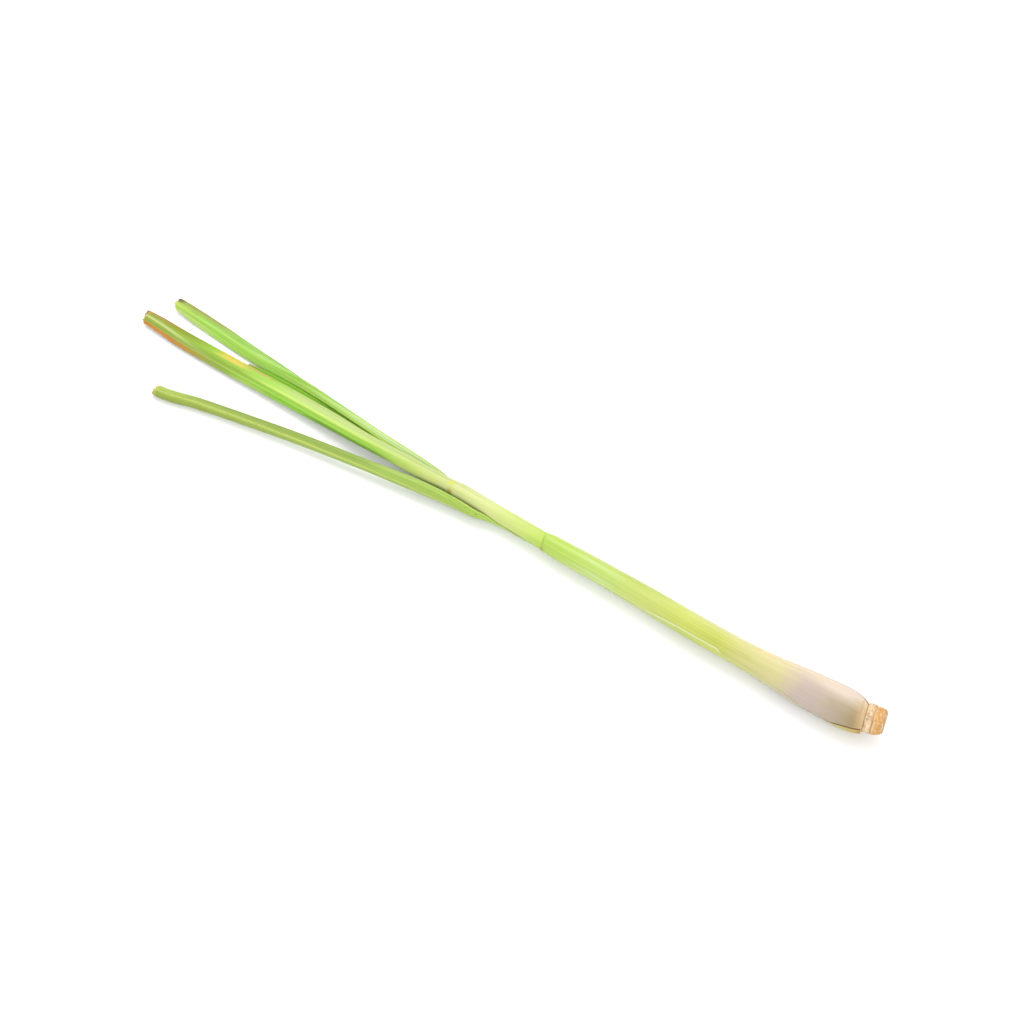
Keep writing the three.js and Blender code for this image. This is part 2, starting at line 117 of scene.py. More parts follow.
def blend(x, low, high):
    """0 up to low, 1 from high on, and smooth between."""
    t = np.clip((x - low) / (high - low), 0, 1)
    return t * t * (3 - 2 * t)


# -------- the rolled sheaths
axis_y = track([
    [-35, 1.7], [0, 0.6], [30, -0.1], [60, -0.3], [85, -0.6], [115, -1.4], [150, -1.1], [175, -0.4],
    [192, 0.4],
])
lower_outer = track([
    [22, 4.95], [30, 5.25], [40, 5.42], [60, 5.6], [110, 6.1], [130, 6.3], [140, 6.65], [148, 7.15],
    [155, 7.75], [162, 8.5], [169, 9.15], [176, 9.55], [183, 9.85], [189, 9.75], [194, 9.1],
    [197.5, 8.0], [STUB_JOINT_X, 7.0],
])
lower_wall = track([
    [22, 0.25], [30, 0.5], [40, 0.64], [60, 0.75], [110, 0.9], [150, 1.5], [185, 2.4],
    [STUB_JOINT_X, 2.2],
])
middle_below = track([[-35, 4.05], [0, 4.2], [22, 4.3]])
middle_wall = track([[-35, 0.6], [22, 0.7], [60, 0.8], [110, 0.9], [150, 1.3], [185, 2.0]])
top_wall = track([[-35, 0.6], [22, 0.6], [60, 0.7], [110, 0.8], [150, 1.1], [185, 1.6]])


def axis_z(x):
    return AXIS_HIGH - (FOOT_REST_X - x) * AXIS_SLOPE


def lower_inner(x):
    return lower_outer(x) - lower_wall(x)


def middle_inner(x):
    gap = CLEARANCE + MOUTH_GAP * (1 - blend(x, LOWER_COLLAR_X, MOUTH_DEEP_X))
    outer = lower_inner(x) - gap if x > LOWER_COLLAR_X else middle_below(x)
    return outer - middle_wall(x)


def top_inner(x):
    return middle_inner(x) - CLEARANCE - top_wall(x)


def sheath_section(x, back, inner, wall, wrap):
    """A leaf rolled round the stalk, wrap degrees to either side of its back."""
    back = math.radians(back)
    half = inner * math.radians(wrap)
    return dict(
        x=x, back=back, y=axis_y(x) + inner * math.cos(back), z=axis_z(x) + inner * math.sin(back),
        curl=1 / inner, fold=0.0, left=half, right=half, wall=wall, edge=wall, keel=0.0, lap=0.0,
        lean=0.0,
    )


def foot_lean(x):
    return math.sin(STUB_TURN) * blend(x, FOOT_LEAN_X, STUB_JOINT_X)


# -------- the four leaves' sections
lower_y = track([
    [LOWER_TIP_X, -32.3], [-175, -26.9], [-150, -22], [-115, -16], [-84, -11.7], [-56, -7.9],
    [-31, -4.4], [-17, -2.6], [-8, 0.1], [LOWER_FREE_X, 0.6],
])
lower_z = track([
    [LOWER_TIP_X, 2.5], [-150, 3], [-115, 3.9], [-84, 4.9], [-56, 5.6], [-31, 6.2], [-17, 6.2],
    [-8, 6.45], [LOWER_FREE_X, 7.15],
])
lower_radius = track([
    [LOWER_TIP_X, 2.65], [-150, 2.4], [-84, 2.4], [-56, 2.8], [-31, 3.2], [-17, 3.8], [-8, 4.4],
    [LOWER_FREE_X, 4.65], [22, 4.7],
])
lower_near = track([
    [LOWER_TIP_X, 6], [-150, 20], [-115, 28], [-84, 34], [-56, 42], [-43, 64], [-31, 92],
    [-24, 106], [-17, 124], [-8, 160], [LOWER_FREE_X, 189], [8, 195], [19, 195], [21, 180],
    [22, 150], [23, 100], [24, 52], [25, 26], [27, 10], [30, 2], [34, -2], [60, -12],
])
lower_far = track([
    [LOWER_TIP_X, 230], [-150, 240], [-115, 255], [-84, 270], [-56, 280], [-31, 278], [-17, 284],
    [-8, 292], [LOWER_FREE_X, 302], [10, 306], [17, 311], [20, 316], [22, 322], [24, 330],
    [26, 340], [28, 352], [31, 368], [34, 378], [60, 380],
])


def lower_section(x):
    back = (lower_far(x) + lower_near(x)) / 2
    wrap = (lower_far(x) - lower_near(x)) / 2
    if x >= LOWER_COLLAR_X:
        wall = lower_wall(x)
        section = sheath_section(x, back, lower_inner(x), wall, wrap)
        section["edge"] = max(min(wall, SHEATH_EDGE), (wall - CLEARANCE) / 2)
        section["lap"] = (section["edge"] + CLEARANCE) * blend(x, 23, 31)
        section["lean"] = foot_lean(x)
        return section
    wall = LOWER_BLADE - 0.4 * blend(x, -10, LOWER_COLLAR_X)
    section = sheath_section(x, back, lower_radius(x), wall, wrap)
    if x < LOWER_FREE_X:
        section["y"] += lower_y(x) - axis_y(x)
        section["z"] += lower_z(x) - axis_z(x)
    section["edge"] = min(wall, BLADE_EDGE)
    section["keel"] = LOWER_KEEL * blend(-x, 0, 60)
    return section


middle_y = track([
    [MIDDLE_TIP_X, 2], [-205, 0.9], [-180, 0.8], [-150, 0.7], [-130, 0.5], [-110, 0.2], [-90, -0.1],
    [-60, 0.3], [-44, 0.32], [-35, 0.35],
])
middle_z = track([
    [MIDDLE_TIP_X, 3.8], [-180, 4.7], [-130, 6.3], [-90, 7.7], [-60, 8.7], [-44, 9.62],
    [-35, 10.13],
])
middle_curl = track([
    [MIDDLE_TIP_X, 0.09], [-150, 0.085], [-110, 0.1], [-90, 0.13], [-62, 0.19], [-44, 0.235],
    [-35, 0.252],
])
middle_fold = track([[MIDDLE_TIP_X, 15], [-90, 12], [-40, 0]])
middle_far = track([
    [MIDDLE_TIP_X, 5], [-225, 5.9], [-205, 6.3], [-180, 6.2], [-130, 6.1], [-108, 5.7], [-90, 4.8],
    [-60, 3.9], [-52, 3.7], [-44, 3.7], [-39, 3.9],
])
middle_near = track([
    [MIDDLE_TIP_X, 4], [-205, 5.1], [-180, 5.3], [-130, 4.9], [-105, 4.4], [-80, 4.2], [-55, 4.8],
    [-42, 5.4],
])
middle_far_wrap = track([[-35, 67], [-30, 103], [-24, 140], [-18, 172]])
middle_near_wrap = track([[-35, 88], [-30, 120], [-24, 148], [-18, 172]])
middle_full = track([[-35, 0.52], [-24, 0.5], [-15, 0.35], [-8, 0.2], [0, 0.06], [8, 0]])
middle_back = track([[MIDDLE_TIP_X, 98], [-150, 103], [-90, 105], [-35, MIDDLE_BACK]])


def middle_section(x):
    if x >= MIDDLE_COLLAR_X:
        full = middle_full(x)
        inner = middle_inner(x) + full
        section = sheath_section(x, MIDDLE_BACK, inner, middle_wall(x), middle_near_wrap(x))
        section["left"] = inner * math.radians(middle_far_wrap(x))
        section["y"] += FULL_SIDE[0] * full
        section["z"] += FULL_SIDE[1] * full
        return section
    return dict(
        x=x, back=math.radians(middle_back(x)), y=middle_y(x), z=middle_z(x), curl=middle_curl(x),
        fold=math.radians(middle_fold(x)), left=middle_far(x), right=middle_near(x),
        wall=MIDDLE_BLADE, edge=BLADE_EDGE, keel=KEEL * blend(-x, 40, 80), lap=0.0, lean=0.0,
    )


top_y = track([
    [TOP_TIP_X, 17.5], [-215, 17], [-195, 15.6], [-180, 14.4], [-164, 13.7], [-148, 13.6],
    [-132, 13.1], [-115, 11.6], [-84, 8.6], [-55, 6.5], [-44, 5.3], [-35, 3.5], [-24, 3],
])
top_z = track([
    [TOP_TIP_X, 3.7], [-195, 3.8], [-164, 3.95], [-148, 4.2], [-132, 4.6], [-115, 5.2], [-84, 6.1],
    [-55, 6.4], [-44, 6.5], [-35, 7], [-24, 7.5],
])
top_curl = track([[TOP_TIP_X, 0.05], [-100, 0.03], [-36, 0.05], [TOP_COLLAR_X, 0.38]])
top_fold = track([
    [TOP_TIP_X, 20], [-195, 24], [-164, 33], [-148, 44], [-132, 56], [-115, 66], [-84, 75],
    [-36, 78], [TOP_COLLAR_X, 0],
])
top_half = track([
    [TOP_TIP_X, 4.7], [-185, 4.8], [-164, 4.5], [-148, 3.9], [-132, 3.6], [-115, 3.3], [-92, 3.4],
    [-68, 4.1], [-50, 4.5], [-35, 4.2], [-12, 4.4],
])
top_taper = track([[TOP_TIP_X, 1.8], [-217, 0.8], [-205, 0]])
top_wrap = track([[TOP_COLLAR_X, 106], [10, 118], [18, 134], [22, 148], [27, 160], [34, 172]])
top_back = track([
    [TOP_TIP_X, 112], [-195, 112], [-180, 110], [-164, 105], [-148, 94], [-132, 76], [-115, 58],
    [-100, 45], [-84, 36], [-55, 30], [-35, TOP_BACK],
])


def top_section(x):
    rolled = sheath_section(x, TOP_BACK, top_inner(x), top_wall(x), top_wrap(x))
    if x > TOP_COLLAR_X:
        return rolled
    shut = blend(-x, -TOP_COLLAR_X, -MIDDLE_COLLAR_X)

    def toward(start, end):
        return start + (end - start) * shut

    return dict(
        x=x, back=math.radians(top_back(x)), y=toward(rolled["y"], top_y(x)),
        z=toward(rolled["z"], top_z(x)), curl=top_curl(x), fold=math.radians(top_fold(x)),
        left=toward(rolled["left"], top_half(x)),
        right=toward(rolled["right"], top_half(x) - top_taper(x)),
        wall=TOP_BLADE, edge=BLADE_EDGE, keel=KEEL * shut, lap=0.0, lean=0.0,
    )


remnant_near = track([
    [REMNANT_TIP_X, 212], [72, 200], [84, 178], [90, 166], [108, 154], [123.5, 153], [125, 157],
    [127.5, 170], [131, 170], [138, 172], [156, 176], [166, 184], [173, 204], [180, 211],
    [184.5, 205], [188, 191], [192, 179], [REMNANT_END_X, 172],
])
remnant_far = track([
    [REMNANT_TIP_X, 236], [72, 262], [84, 290], [90, 304], [112, 317], [140, 322], [156, 345],
    [REMNANT_END_X, 360],
])
remnant_gap = track([[REMNANT_TIP_X, 0.12], [110, 0.12], [150, 0.05], [REMNANT_END_X, 0.05]])
remnant_wall = track([[REMNANT_TIP_X, 0.35], [150, 0.4], [176, 0.65], [REMNANT_END_X, 0.6]])


def remnant_section(x):
    half = (remnant_far(x) - remnant_near(x)) / 2
    inner = lower_outer(x) + remnant_gap(x)
    section = sheath_section(x, remnant_near(x) + half, inner, remnant_wall(x), half)
    section["lean"] = foot_lean(x)
    return section


# -------- building the leaves finely
FINE = 4  # steps of arc between two columns
# A blade thins over its last TAPER mm to RIM of its thickness. A sheath does so over SHEATH_TAPER
# more, and to SHEATH_RIM less.
TAPER, SHEATH_TAPER = 0.55, 2.6
RIM, SHEATH_RIM = 0.4, 0.22
PRESS_WIDTH = 1.3  # of a pressed margin, in tapers
LAP_SHARES, EDGE_SHARES = (0.62, 0.8), (0.5, 0.8)  # of the way to the margin
MOUTH_TURN = math.radians(117)  # towards which the lower leaf's mouth slants
GRAIN_MM, GRAIN_TURN = 6, math.radians(250)  # mm of grain a radian, counted from there
SHARP = 38  # degrees between two faces from which their edge is sharp
LAST_ROWS_FROM, LAST_ROWS = 1.6, (1.2, 0.8, 0.45, 0.2, 0)  # mm before the tip


def wing(section, side, half, columns):
    """One side of a section, from its middle to its margin, worked out step by step."""
    arc = np.linspace(0, half, columns * FINE + 1)
    middle = (arc[:-1] + arc[1:]) / 2
    turn = section["fold"] * np.minimum(1, middle / FOLD_ROUND) + section["curl"] * middle
    heading = section["back"] + side * (math.pi / 2 + turn)
    step = half / columns / FINE
    y = section["y"] + np.concatenate([[0], np.cumsum(step * np.cos(heading))])[::FINE]
    z = section["z"] + np.concatenate([[0], np.cumsum(step * np.sin(heading))])[::FINE]
    arc = arc[::FINE]
    turn = section["fold"] * np.minimum(1, arc / FOLD_ROUND) + section["curl"] * arc
    return y, z, side * arc, section["back"] + side * turn


def row_of(section, leaf):
    """One row of both faces, margin to margin, with what the materials need at each point."""
    columns, parts = leaf["columns"], []
    for side, half in ((-1, section["left"]), (1, section["right"])):
        y, z, arc, normal = wing(section, side, half, columns)
        share = side * np.linspace(0, 1, columns + 1)
        parts.append(np.array([y, z, arc, normal, share, np.full(columns + 1, half)]))
    y, z, arc, normal, share, half = np.concatenate([parts[0][:, :0:-1], parts[1]], axis=1)
    x, from_margin, from_tip = section["x"], half - np.abs(arc), section["x"] - leaf["tip_x"]
    # A sheath's margins thin out to a skin and lie close on what they wrap. A blade's are firm.
    sheath = blend(x, *leaf["hug"])
    taper, press = TAPER + SHEATH_TAPER * sheath, leaf["press"](x) * sheath
    shut = 1 - blend(from_margin, 0, PRESS_WIDTH * taper)
    lifted = section["lap"] * blend(share, *LAP_SHARES) - press * shut
    edge = blend(np.abs(share), *EDGE_SHARES)
    keel = section["keel"] * np.exp(-((arc / KEEL_WIDTH) ** 2))
    thin = RIM - SHEATH_RIM * sheath
    thick = section["wall"] + (section["edge"] - section["wall"]) * edge
    thick = thick * (thin + (1 - thin) * blend(from_margin, -0.3 * taper, taper)) + keel
    thick = thick * (0.55 + 0.45 * blend(from_tip, 0, leaf["tip_soft"]))
    thick = thick + leaf["relief"](x, share, normal)
    lean = section["lean"] * np.cos(normal - STUB_RISE)
    ends = x + leaf["cut"](x, share)
    if "slant" in leaf:
        ends = ends + leaf["slant"](x) * np.sin(normal - MOUTH_TURN)
    # A sheath whose middle turns round the stalk has its grain laid by direction instead.
    across = arc
    if leaf["around"]:
        across = arc + (GRAIN_MM * (normal - GRAIN_TURN) - arc) * blend(x, -12, 8)
    dy, dz = np.cos(normal), np.sin(normal)
    inner = np.array([ends - lean / section["curl"], y + lifted * dy, z + lifted * dz])
    outer = inner + np.array([-lean * thick, thick * dy, thick * dz])
    along, tip, turn = np.full_like(arc, x), ends - leaf["tip_x"], np.degrees(normal)
    return inner, outer, np.array([along, across, share, from_margin, tip, turn])


FACTS = ("along", "across", "share", "margin", "tip", "turn")


def mesh_object(name, points, faces, facts, sharp=SHARP):
    points = (np.asarray(points) + SHIFT) * MM
    points[:, 2] = np.maximum(points[:, 2], 0)
    mesh = bpy.data.meshes.new(name)
    mesh.from_pydata(points.tolist(), [], faces)
    for key, values in facts.items():
        layer = mesh.attributes.new(key, "FLOAT", "POINT")
        layer.data.foreach_set("value", np.asarray(values, dtype=np.float32))
    mesh.polygons.foreach_set("use_smooth", [True] * len(mesh.polygons))
    mesh.set_sharp_from_angle(angle=math.radians(sharp))
    mesh.update()
    made = bpy.data.objects.new(name, mesh)
    bpy.context.collection.objects.link(made)
    return made


def fibre(start, end, thick, sides=5):
    """A dried fibre standing out of a cut edge: a thin bent cone."""
    start, end = np.array(start, float), np.array(end, float)
    way = (end - start) / np.linalg.norm(end - start)
    side = np.cross(way, [0, 0.3, 1.0])
    side /= np.linalg.norm(side)
    up = np.cross(way, side)
    points = []
    for share, size in ((0, 1), (0.45, 0.75), (0.8, 0.45)):
        middle = start + (end - start) * share + up * 0.12 * math.sin(share * 3)
        for n in range(sides):
            angle = 2 * math.pi * n / sides
            points.append(middle + thick * size * (side * math.cos(angle) + up * math.sin(angle)))
    points += [end, start - way * thick]
    faces = []
    for n in range(sides):
        m = (n + 1) % sides
        for low in (0, sides):
            faces.append((n + low, m + low, m + low + sides, n + low + sides))
        faces += [(n + 2 * sides, m + 2 * sides, 3 * sides), (m, n, 3 * sides + 1)]
    return np.array(points), faces


def leaf_object(name, leaf):
    rows = [row_of(leaf["section"](x), leaf) for x in leaf["xs"]]
    count, across = len(rows), 2 * leaf["columns"] + 1
    inner = np.array([row[0].T for row in rows])
    outer = np.array([row[1].T for row in rows])
    points = np.concatenate([inner.reshape(-1, 3), outer.reshape(-1, 3)])
    facts = np.array([row[2].T for row in rows]).reshape(-1, len(FACTS))
    index = np.arange(count * across).reshape(count, across)
    a, b, c, d = index[:-1, :-1], index[1:, :-1], index[1:, 1:], index[:-1, 1:]
    under = np.stack([a, d, c, b], axis=-1).reshape(-1, 4)
    over = np.stack([a, b, c, d], axis=-1).reshape(-1, 4) + count * across
    top = index + count * across
    rims = []
    for low, high in ((index[:, 0], top[:, 0]), (index[::-1, -1], top[::-1, -1]),
                      (index[0, ::-1], top[0, ::-1]), (index[-1], top[-1])):
        rims.append(np.stack([low[:-1], low[1:], high[1:], high[:-1]], axis=-1))
    faces = np.concatenate([under, over] + rims).tolist()
    facts = np.concatenate([facts, facts])
    rng = np.random.default_rng(leaf["seed"])
    for _ in range(leaf["fibres"]):
        column = int(rng.integers(3, across - 3))
        root = (inner[-3, column] + outer[-3, column]) / 2
        way = inner[-1, column] - inner[-6, column]
        way = way / np.linalg.norm(way)
        reach = rng.uniform(1.0, 2.0) * leaf["fibre_reach"]
        aside = np.array([0, rng.normal(0, 0.16), rng.normal(0.03, 0.12)])
        more, made = fibre(root, root + (way + aside) * reach, rng.uniform(0.05, 0.11))
        faces += [tuple(n + len(points) for n in one) for one in made]
        points = np.concatenate([points, more])
        same = facts[(count - 1) * across + column]
        facts = np.concatenate([facts, np.tile(same, (len(more), 1))])
    return mesh_object(name, points, faces, dict(zip(FACTS, facts.T)))


def stations(start, end, step, close=()):
    """Rows from start down to end, closer together in the named stretches and at the tip."""
    xs, x = [], start
    while x > end + LAST_ROWS_FROM:
        xs.append(x)
        near = [fine for low, high, fine in close if low <= x <= high]
        x -= min(near) if near else step
    return xs + [end + before for before in LAST_ROWS]


def relief(seed, blade_count, sheath_count, collar_x, blade_high, sheath_high, ridge=0.05):
    """Ribs over the veins, a low thickening across the collar, and a leaf's slight unevenness."""
    phases = np.random.default_rng(seed).uniform(0, 2 * math.pi, 8)

    def high(x, share, normal):
        bend = 0.5 * np.sin(share * 5.1 + phases[0]) + 0.35 * np.sin(share * 11.7 + phases[1])
        blade = 0.5 + 0.5 * np.cos(2 * math.pi * blade_count * share + bend)
        blade = blade * (0.7 + 0.3 * np.sin(share * 23 + phases[2] + x * 0.01))
        drift = 0.9 * np.sin(2 * normal + phases[0]) + 0.5 * np.sin(5 * normal + phases[1])
        sheath = 0.5 + 0.5 * np.cos(sheath_count * normal + drift + 0.3 * math.sin(x * 0.03))
        sheath = sheath * (0.6 + 0.4 * np.sin(7 * normal + phases[3] + x * 0.013))
        wide = np.sin(3 * normal + 0.012 * x + phases[4])
        wide = wide * np.sin(0.05 * x + 2 * normal + phases[5])
        wide = wide + 0.6 * np.sin(5 * normal + phases[6] - 0.02 * x)
        opened = blend(-x, -collar_x, -collar_x + 40)
        collar = ridge * math.exp(-(((x - collar_x) / 1.1) ** 2))
        smoother = 1 - 0.9 * blend(x, 105, 150)
        on_sheath = (1 - opened) * sheath_high * smoother * (sheath + 0.8 * wide)
        return opened * blade_high * blade + on_sheath + collar

    return high


def ragged(seed, tip_x, high, lean=lambda share: 0 * share):
    """The cut tip: a slanted cut whose fibres have dried back unevenly."""
    phases = np.random.default_rng(seed).uniform(0, 2 * math.pi, 6)
    waves = (5, 9, 17, 29, 47, 83)

    def cut(x, share):
        rough = sum(np.sin(share * w + p) / (1 + 0.07 * w) for w, p in zip(waves, phases))
        near = 1 - blend(x - tip_x, 0, 12)
        return near * lean(share) + (1 - blend(x - tip_x, 0, 1.4)) * high * rough

    return cut


def lower_leaf():
    return leaf_object("lower_leaf", dict(
        section=lower_section, columns=54, hug=(-26, -4), tip_x=LOWER_TIP_X, tip_soft=1.5,
        xs=stations(STUB_JOINT_X, LOWER_TIP_X, 1.7, [(16, 36, 0.4), (190, 200, 0.8)]),
        relief=relief(3, 3.5, 35, LOWER_COLLAR_X, 0.07, 0.035, 0), around=True,
        cut=ragged(11, LOWER_TIP_X, 0.22, lambda share: -1.2 * share),
        press=lambda x: 0.22 + 0.24 * (1 - blend(x, 24, 50)) * blend(x, 6, 21),
        slant=lambda x: 2 * math.exp(-(((x - 23) / 7) ** 2)), seed=21, fibres=7, fibre_reach=0.6,
    ))


def middle_leaf():
    return leaf_object("middle_leaf", dict(
        section=middle_section, columns=42, hug=(-53, -37), tip_x=MIDDLE_TIP_X, tip_soft=1.5,
        xs=stations(SHEATH_END_X, MIDDLE_TIP_X, 1.7, [(-42, -14, 0.6)]),
        relief=relief(5, 4.5, 31, MIDDLE_COLLAR_X, 0.1, 0.05), around=False,
        cut=ragged(12, MIDDLE_TIP_X, 0.4, lambda share: 1.5 * share),
        press=lambda x: 0.15, seed=22, fibres=9, fibre_reach=1.3,
    ))


def top_leaf():
    return leaf_object("top_leaf", dict(
        section=top_section, columns=42, hug=(-18, -2), tip_x=TOP_TIP_X, tip_soft=1.5,
        xs=stations(SHEATH_END_X, TOP_TIP_X, 1.7),
        relief=relief(8, 4.5, 27, TOP_COLLAR_X, 0.08, 0.02, 0), around=False,
        cut=ragged(13, TOP_TIP_X, 0.3, lambda share: 1.1 * share + 1.2 * share * share),
        press=lambda x: 0, seed=23, fibres=7, fibre_reach=0.7,
    ))


def old_sheath():
    return leaf_object("dry_sheath", dict(
        section=remnant_section, columns=44, hug=(44, 60), tip_x=REMNANT_TIP_X, tip_soft=10,
        xs=stations(REMNANT_END_X, REMNANT_TIP_X, 1.3),
        relief=relief(9, 6, 37, REMNANT_TIP_X, 0.03, 0.05, 0), around=True,
        cut=ragged(14, REMNANT_TIP_X, 0.7), press=lambda x: 0.08 - 0.05 * blend(x, 110, 150),
        seed=24, fibres=5, fibre_reach=0.8,
    ))


# -------- the heart leaf
heart_y = track([
    [HEART_TIP_X, 8], [-156, 8.65], [-148, 8.7], [-132, 8.4], [-115, 8], [-100, 6.9], [-84, 5.9],
    [-55, 3.8], [-35, 1.9], [-12, 1],
])
heart_z = track([
    [HEART_TIP_X, 0.9], [-156, 1.1], [-148, 1.3], [-132, 1.75], [-115, 2.3], [-100, 3.15],
    [-84, 4.4], [-55, 5.2], [-35, 6], [-12, 6.8],
])
heart_wide = track([
    [HEART_TIP_X, 1.2], [-165, 1.6], [-154, 1.95], [-132, 2.05], [-100, 1.8], [-84, 2], [-35, 1.6],
])
heart_thick = track([[HEART_TIP_X, 0.32], [-148, 0.4], [-35, 0.45]])
heart_tilt = track([
    [HEART_TIP_X, 8], [-148, 10], [-132, 14], [-115, 19], [-100, 24], [-84, TOP_BACK],
])
HEART_SIDES = 48


def heart_ring(x):
    flat = blend(-x, -10, 12)
    rolled = top_inner(max(x, TOP_COLLAR_X)) - CLEARANCE
    wide = rolled + (heart_wide(x) - rolled) * flat
    thick = rolled + (heart_thick(x) - rolled) * flat
    y = axis_y(x) + (heart_y(x) - axis_y(x)) * flat
    z = axis_z(x) + (heart_z(x) - axis_z(x)) * flat
    tilt = math.radians(heart_tilt(x))
    angle = np.arange(HEART_SIDES) * 2 * math.pi / HEART_SIDES
    ribs = 1 + 0.035 * np.cos(9 * angle + 0.4 * math.sin(x * 0.04))
    groove = 1 - 0.35 * flat * np.exp(-(((angle - math.pi / 2) / 0.35) ** 2))
    along, off = wide * np.cos(angle), thick * np.sin(angle) * ribs * groove
    ys = y + along * math.cos(tilt) - off * math.sin(tilt)
    zs = z + along * math.sin(tilt) + off * math.cos(tilt)
    slant = 0.9 * along * (1 - blend(x - HEART_TIP_X, 0, 6))
    xs = x + slant + 0.2 * np.sin(7 * angle) * (1 - blend(x - HEART_TIP_X, 0, 1))
    return np.array([xs, ys, zs]).T, along


def loft(name, rings, facts, sharp=SHARP):
    """A closed skin over rings of points, with a point in the middle of the first and the last."""
    sides = len(rings[0])
    points = np.concatenate(rings + [[rings[0].mean(axis=0)], [rings[-1].mean(axis=0)]])
    faces = []
    for ring in range(len(rings) - 1):
        for side in range(sides):
            a, b = ring * sides + side, ring * sides + (side + 1) % sides
            faces.append((a, b, b + sides, a + sides))
    last, base = len(points) - 1, (len(rings) - 1) * sides
    for side in range(sides):
        following = (side + 1) % sides
        faces.append((last - 1, following, side))
        faces.append((last, base + side, base + following))
    for key, rows in facts.items():
        facts[key] = np.append(np.concatenate(rows), [rows[0][0], rows[-1][0]])
    return mesh_object(name, points, faces, facts, sharp)


def heart_leaf():
    xs = stations(SHEATH_END_X, HEART_TIP_X, 2.2)
    made = [heart_ring(x) for x in xs]
    same = [np.full(HEART_SIDES, x) for x in xs]
    return loft("heart_leaf", [ring[::-1] for ring, _ in made], {
        "along": same, "across": [arc[::-1] for _, arc in made],
        "tip": [x - HEART_TIP_X for x in same],
    })


# -------- the woody stub
STUB_PROFILE = [
    [193, 5.9], [195.5, 5.4], [197.5, 4.8], [198.7, 4.3], [199.32, 4.3], [199.37, 6.6],
    [199.8, 6.85], [202.6, 6.75], [203.1, 6.35], [203.6, 6.6], [205.6, 6.3], [207.4, 5.8],
    [STUB_END_X, 5],
]
STUB_SIDES = 140
STUB_OUTSIDE_X = 199.34  # from here on the profile is in the open
OUTSIDE_STEP, INSIDE_STEP = 0.17, 0.6
STUB_LEAN_X = 190
CUT_SHARES = np.linspace(0.96, 0.06, 20)  # of the end's radius, for the rings on the cut face
# Root scars: where along the stub, in which direction, their size in mm and how deep the pit is.
SCARS = [
    (200.6, 101, 0.9, 0.22), (201.1, 111, 1.1, 0.3), (200.7, 124, 1.3, 0.3), (201.3, 48, 0.6, 0.2),
    (201.6, 205, 0.8, 0.25), (201.0, 268, 0.7, 0.25), (201.8, 331, 0.6, 0.2),
    (207.0, 103, 0.5, 0.16), (206.8, 134, 0.45, 0.16), (204.8, 178, 0.5, 0.15),
    (205.3, 15, 0.5, 0.15), (205.2, 250, 0.5, 0.18), (204.9, 302, 0.45, 0.15),
]


def ring_noise(angles, around, along):
    """Noise round a ring that meets itself again."""
    places = [(around * math.cos(a), around * math.sin(a), along) for a in angles]
    return np.array([noise.noise(place) for place in places])


def stub_ring(x, radius, outside, inward=0.0):
    reach = max(x - STUB_JOINT_X, 0)
    drift = reach * math.tan(STUB_TURN)
    tilt = STUB_TURN * blend(x, STUB_LEAN_X, STUB_JOINT_X)
    angle = np.arange(STUB_SIDES) * 2 * math.pi / STUB_SIDES
    lumps, scar = 0 * angle, 0 * angle
    if outside:
        lumps = 0.18 * np.sin(3 * angle + x) + 0.1 * np.sin(7 * angle)
        fibres, rough = ring_noise(angle, 9, x * 0.45), ring_noise(angle, 26, x * 1.6)
        rings = 0.07 * math.sin(x * 6.1) + 0.05 * math.sin(x * 11.3 + 1)
        lumps = lumps + 0.22 * fibres + 0.13 * rough + rings
        for place, toward, size, pit in SCARS:
            off = (np.degrees(angle) - toward + 180) % 360 - 180
            far = np.hypot(np.radians(off) * radius, x - place) / size
            lumps += 0.16 * np.exp(-(((far - 1) / 0.35) ** 2)) - pit * np.exp(-((far / 0.7) ** 2))
            scar = np.maximum(scar, np.exp(-((far / 0.85) ** 2)) * (0.85 + 0.5 * rough))
    r = radius + lumps * (1 - inward)
    y = axis_y(x) + drift * math.cos(STUB_RISE) + r * np.cos(angle)
    z = axis_z(x) + drift * math.sin(STUB_RISE) + r * np.sin(angle)
    sunk = 0.0
    if inward:
        layers = 0.22 * math.sin(inward * 17) * (1 - inward)
        grain = ring_noise(angle, 18 * inward, 4.2)
        sunk = -0.5 * inward + layers + 0.25 * grain * min(1, 4 * inward)
    xs = x + sunk - r * np.cos(angle - STUB_RISE) * math.sin(tilt)
    return np.array([xs, y, z]).T, scar, r, np.degrees(angle)


def root_stub():
    rings = []
    for (x0, r0), (x1, r1) in zip(STUB_PROFILE, STUB_PROFILE[1:]):
        outside = x0 > STUB_OUTSIDE_X
        step = OUTSIDE_STEP if outside else INSIDE_STEP
        count = max(1, int(round(math.hypot(x1 - x0, r1 - r0) / step)))
        for i in range(count):
            x, radius = x0 + (x1 - x0) * i / count, r0 + (r1 - r0) * i / count
            rings.append((x, radius, outside, 0))
    end_radius = STUB_PROFILE[-1][1]
    rings.append((STUB_END_X, end_radius, True, 0))
    for share in CUT_SHARES:
        rings.append((STUB_END_X, end_radius * share, True, 1 - share))
    made = [stub_ring(*ring) for ring in rings]
    return loft("stub", [one[0] for one in made], {
        "along": [np.full(STUB_SIDES, ring[0]) for ring in rings],
        "scar": [one[1] for one in made],
        "radius": [one[2] for one in made],
        "turn": [one[3] for one in made],
        "face": [np.full(STUB_SIDES, ring[3]) for ring in rings],
    }, sharp=60)


# -------- materials
def tone(text):
    """A colour written as on screen, #rrggbb, in the linear numbers that shaders take."""
    values = [int(text[i:i + 2], 16) / 255 for i in (1, 3, 5)]
    return tuple(v / 12.92 if v <= 0.04045 else ((v + 0.055) / 1.055) ** 2.4 for v in values)


